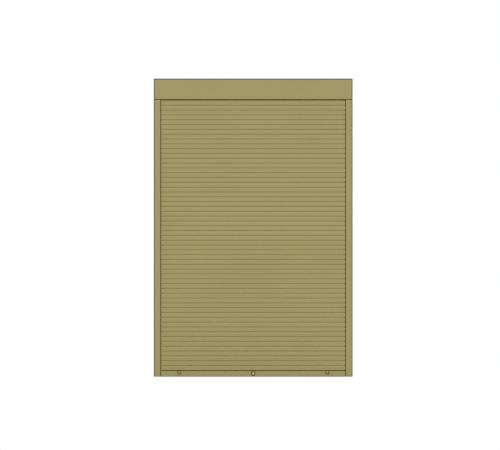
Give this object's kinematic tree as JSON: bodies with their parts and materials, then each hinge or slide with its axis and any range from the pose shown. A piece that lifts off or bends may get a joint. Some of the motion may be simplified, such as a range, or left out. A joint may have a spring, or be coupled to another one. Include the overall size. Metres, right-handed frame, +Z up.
{
  "type": "exterior roller shutter",
  "caption": "Exterior roller shutter: interlocking slats slide in side guides and wind on a spring balanced shaft in a square casing; key lock in the end slat.",
  "frame": {"origin": "bottom centre of the whole shutter's box, at sill height", "axes": "+Z up, +Y from the front towards the casing's back, +X to the right seen from the front"},
  "size_m": [1.6, 0.182, 2.4],
  "materials": {
    "painted_aluminium": "satin powder coat on aluminium",
    "painted_casting": "satin powder coat on die casting",
    "olive_plastic": "matt moulded plastic",
    "rubber": "matt EPDM",
    "black_plastic": "matt moulded nylon",
    "galvanised_steel": "galvanised",
    "bright_steel": "bright zinc plate",
    "spring_steel": "blued spring steel",
    "brass": "satin brass"
  },
  "bodies": {
    "frame": {"casing_hood": "painted_aluminium", "casing_rear": "painted_aluminium", "inspection_cover": "painted_aluminium", "end_cap_left": "painted_casting", "end_cap_right": "painted_casting", "casing_screws": "bright_steel", "casing_gasket": "rubber", "guide_left": "painted_aluminium", "guide_right": "painted_aluminium", "guide_flanges": "painted_aluminium", "guide_seals": "rubber", "curtain_inlets": "black_plastic", "guide_feet": "black_plastic", "lock_keepers": "galvanised_steel", "axle_bracket": "galvanised_steel", "bearing_holder": "galvanised_steel", "bearing_outer": "bright_steel", "spring_axle": "bright_steel", "spring_anchor": "bright_steel"},
    "shaft": {"octagonal_shaft": "galvanised_steel", "shaft_plug_left": "black_plastic", "shaft_plug_right": "black_plastic", "bearing_inner": "bright_steel", "bearing_balls": "bright_steel", "spring_carrier": "bright_steel", "torsion_spring": "spring_steel", "hanger_straps": "spring_steel"},
    "end_bar": {"end_slat": "painted_aluminium", "bottom_seal": "rubber", "end_sliders": "black_plastic", "stop_plugs": "olive_plastic", "trim_gaskets": "rubber", "lock_escutcheon": "painted_casting", "lock_barrel": "painted_casting", "lock_cover": "painted_aluminium", "bolt_guides": "black_plastic", "end_slat_screws": "bright_steel"},
    "lock_rotor": {"lock_plug": "brass", "lock_cam": "bright_steel"},
    "bolt_left": {"lock_bolt_left": "bright_steel"},
    "bolt_right": {"lock_bolt_right": "bright_steel"},
    "slats_01": {"slats_01": "painted_aluminium"},
    "slats_02": {"slats_02": "painted_aluminium"},
    "slats_03": {"slats_03": "painted_aluminium"},
    "slats_04": {"slats_04": "painted_aluminium"},
    "slats_05": {"slats_05": "painted_aluminium"},
    "slats_06": {"slats_06": "painted_aluminium"},
    "slats_07": {"slats_07": "painted_aluminium"},
    "slats_08": {"slats_08": "painted_aluminium"},
    "slats_09": {"slats_09": "painted_aluminium"},
    "slats_10": {"slats_10": "painted_aluminium"},
    "slats_11": {"slats_11": "painted_aluminium"},
    "slats_12": {"slats_12": "painted_aluminium"},
    "slats_13": {"slats_13": "painted_aluminium"},
    "slats_14": {"slats_14": "painted_aluminium"},
    "slats_15": {"slats_15": "painted_aluminium"},
    "slats_16": {"slats_16": "painted_aluminium"},
    "slats_17": {"slats_17": "painted_aluminium"},
    "slats_18": {"slats_18": "painted_aluminium"},
    "slats_19": {"slats_19": "painted_aluminium"}
  },
  "joints": [
    {"name": "curtain_lift", "type": "slide", "parent": "frame", "child": "end_bar", "axis": [0, 0, 1], "range_m": [0, 2.1835], "deforming": ["slats_01", "slats_02", "slats_03", "slats_04", "slats_05", "slats_06", "slats_07", "slats_08", "slats_09", "slats_10", "slats_11", "slats_12", "slats_13", "slats_14", "slats_15", "slats_16", "slats_17", "slats_18", "slats_19", "hanger_straps"]},
    {"name": "shaft_turn", "type": "hinge", "parent": "frame", "child": "shaft", "pos_m": [0, 0.0085, 2.3175], "axis": [-1, 0, 0], "range_deg": [0, 2160]},
    {"name": "lock_turn", "type": "hinge", "parent": "end_bar", "child": "lock_rotor", "pos_m": [0, -0.063, 0.027], "axis": [0, 1, 0], "range_deg": [0, 92]},
    {"name": "bolt_left_slide", "type": "slide", "parent": "end_bar", "child": "bolt_left", "axis": [-1, 0, 0], "range_m": [0, 0.008]},
    {"name": "bolt_right_slide", "type": "slide", "parent": "end_bar", "child": "bolt_right", "axis": [1, 0, 0], "range_m": [0, 0.0082]},
    {"name": "slats_01_lift", "type": "slide", "parent": "frame", "child": "slats_01", "axis": [0, 0, 1], "range_m": [0, 2.18351]},
    {"name": "slats_02_lift", "type": "slide", "parent": "frame", "child": "slats_02", "axis": [0, 0, 1], "range_m": [0, 2.06711]},
    {"name": "slats_03_lift", "type": "slide", "parent": "frame", "child": "slats_03", "axis": [0, 0, 1], "range_m": [0, 1.95071]},
    {"name": "slats_04_lift", "type": "slide", "parent": "frame", "child": "slats_04", "axis": [0, 0, 1], "range_m": [0, 1.83431]},
    {"name": "slats_05_lift", "type": "slide", "parent": "frame", "child": "slats_05", "axis": [0, 0, 1], "range_m": [0, 1.71791]},
    {"name": "slats_06_lift", "type": "slide", "parent": "frame", "child": "slats_06", "axis": [0, 0, 1], "range_m": [0, 1.60151]},
    {"name": "slats_07_lift", "type": "slide", "parent": "frame", "child": "slats_07", "axis": [0, 0, 1], "range_m": [0, 1.48511]},
    {"name": "slats_08_lift", "type": "slide", "parent": "frame", "child": "slats_08", "axis": [0, 0, 1], "range_m": [0, 1.36871]},
    {"name": "slats_09_lift", "type": "slide", "parent": "frame", "child": "slats_09", "axis": [0, 0, 1], "range_m": [0, 1.25231]},
    {"name": "slats_10_lift", "type": "slide", "parent": "frame", "child": "slats_10", "axis": [0, 0, 1], "range_m": [0, 1.13591]},
    {"name": "slats_11_lift", "type": "slide", "parent": "frame", "child": "slats_11", "axis": [0, 0, 1], "range_m": [0, 1.01951]},
    {"name": "slats_12_lift", "type": "slide", "parent": "frame", "child": "slats_12", "axis": [0, 0, 1], "range_m": [0, 0.90311]},
    {"name": "slats_13_lift", "type": "slide", "parent": "frame", "child": "slats_13", "axis": [0, 0, 1], "range_m": [0, 0.78671]},
    {"name": "slats_14_lift", "type": "slide", "parent": "frame", "child": "slats_14", "axis": [0, 0, 1], "range_m": [0, 0.67031]},
    {"name": "slats_15_lift", "type": "slide", "parent": "frame", "child": "slats_15", "axis": [0, 0, 1], "range_m": [0, 0.55391]},
    {"name": "slats_16_lift", "type": "slide", "parent": "frame", "child": "slats_16", "axis": [0, 0, 1], "range_m": [0, 0.43751]},
    {"name": "slats_17_lift", "type": "slide", "parent": "frame", "child": "slats_17", "axis": [0, 0, 1], "range_m": [0, 0.32111]},
    {"name": "slats_18_lift", "type": "slide", "parent": "frame", "child": "slats_18", "axis": [0, 0, 1], "range_m": [0, 0.20471]},
    {"name": "slats_19_lift", "type": "slide", "parent": "frame", "child": "slats_19", "axis": [0, 0, 1], "range_m": [0, 0.08831]}
  ],
  "couplings": [
    {"joint": "shaft_turn", "follows": "curtain_lift", "rad_per_m": 17.26},
    {"joint": "bolt_right_slide", "follows": "bolt_left_slide", "ratio": 1},
    {"joint": "lock_turn", "follows": "bolt_left_slide", "rad_per_m": 196.35},
    {"joint": "slats_01_lift", "follows": "curtain_lift", "ratio": 1},
    {"joint": "slats_02_lift", "follows": "curtain_lift", "ratio": 0.94669},
    {"joint": "slats_03_lift", "follows": "curtain_lift", "ratio": 0.89338},
    {"joint": "slats_04_lift", "follows": "curtain_lift", "ratio": 0.84007},
    {"joint": "slats_05_lift", "follows": "curtain_lift", "ratio": 0.78676},
    {"joint": "slats_06_lift", "follows": "curtain_lift", "ratio": 0.73345},
    {"joint": "slats_07_lift", "follows": "curtain_lift", "ratio": 0.68015},
    {"joint": "slats_08_lift", "follows": "curtain_lift", "ratio": 0.62684},
    {"joint": "slats_09_lift", "follows": "curtain_lift", "ratio": 0.57353},
    {"joint": "slats_10_lift", "follows": "curtain_lift", "ratio": 0.52022},
    {"joint": "slats_11_lift", "follows": "curtain_lift", "ratio": 0.46691},
    {"joint": "slats_12_lift", "follows": "curtain_lift", "ratio": 0.4136},
    {"joint": "slats_13_lift", "follows": "curtain_lift", "ratio": 0.36029},
    {"joint": "slats_14_lift", "follows": "curtain_lift", "ratio": 0.30698},
    {"joint": "slats_15_lift", "follows": "curtain_lift", "ratio": 0.25367},
    {"joint": "slats_16_lift", "follows": "curtain_lift", "ratio": 0.20037},
    {"joint": "slats_17_lift", "follows": "curtain_lift", "ratio": 0.14706},
    {"joint": "slats_18_lift", "follows": "curtain_lift", "ratio": 0.093749},
    {"joint": "slats_19_lift", "follows": "curtain_lift", "ratio": 0.04044}
  ]
}
